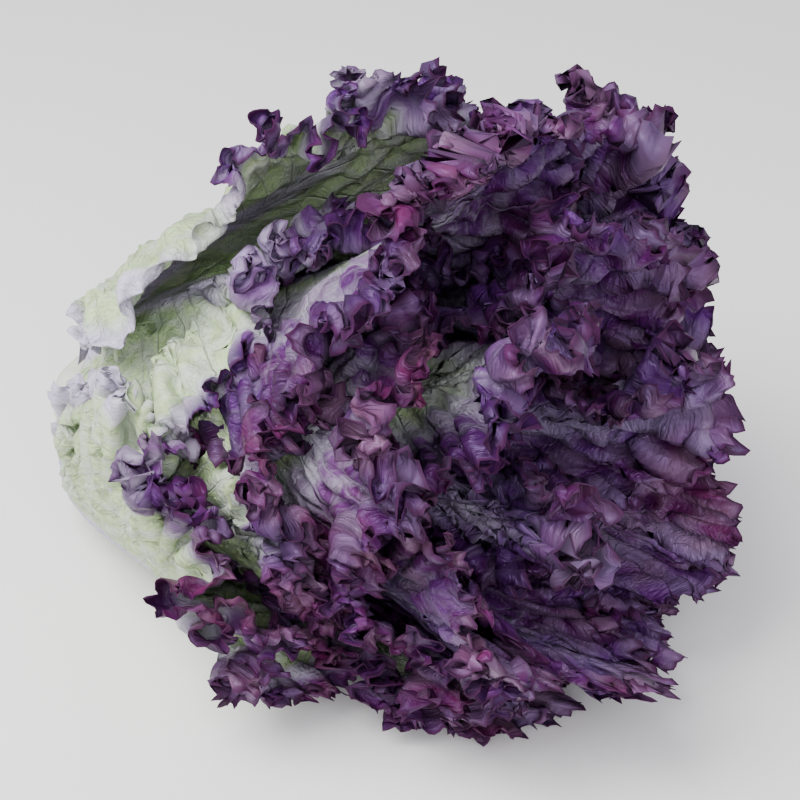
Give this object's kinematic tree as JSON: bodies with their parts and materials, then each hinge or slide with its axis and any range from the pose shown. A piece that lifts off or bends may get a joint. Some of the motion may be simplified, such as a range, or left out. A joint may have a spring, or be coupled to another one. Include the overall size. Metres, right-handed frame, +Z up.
{
  "type": "lollo rosso lettuce",
  "caption": "Whole head of frilled red lettuce lying on its side, pale leaf bases at the cut stem and dark ruffled leaf tips.",
  "frame": {"origin": "centre of the bounding box, on the surface that the head lies on", "axes": "+Z up; the head's axis runs from the cut stem towards +X and rises a little; -Y is the side nearer the camera"},
  "size_m": [0.2503, 0.2147, 0.1741],
  "materials": {
    "pale_stem": "moist pale green-white plant flesh",
    "red_leaf": "satin leaf, pale green-lilac at the base, dark red-purple at the frill",
    "heart_leaf": "satin young leaf"
  },
  "bodies": {
    "root": {"stem": "pale_stem", "leaf_01": "red_leaf", "leaf_02": "red_leaf", "leaf_03": "red_leaf", "leaf_04": "red_leaf", "leaf_05": "red_leaf", "leaf_06": "red_leaf", "leaf_07": "red_leaf", "leaf_08": "red_leaf", "leaf_09": "red_leaf", "leaf_10": "red_leaf", "leaf_11": "red_leaf", "leaf_12": "red_leaf", "leaf_13": "red_leaf", "leaf_14": "red_leaf", "leaf_15": "red_leaf", "leaf_16": "red_leaf", "leaf_17": "red_leaf", "leaf_18": "red_leaf", "leaf_19": "red_leaf", "leaf_20": "red_leaf", "heart": "heart_leaf"}
  },
  "joints": []
}
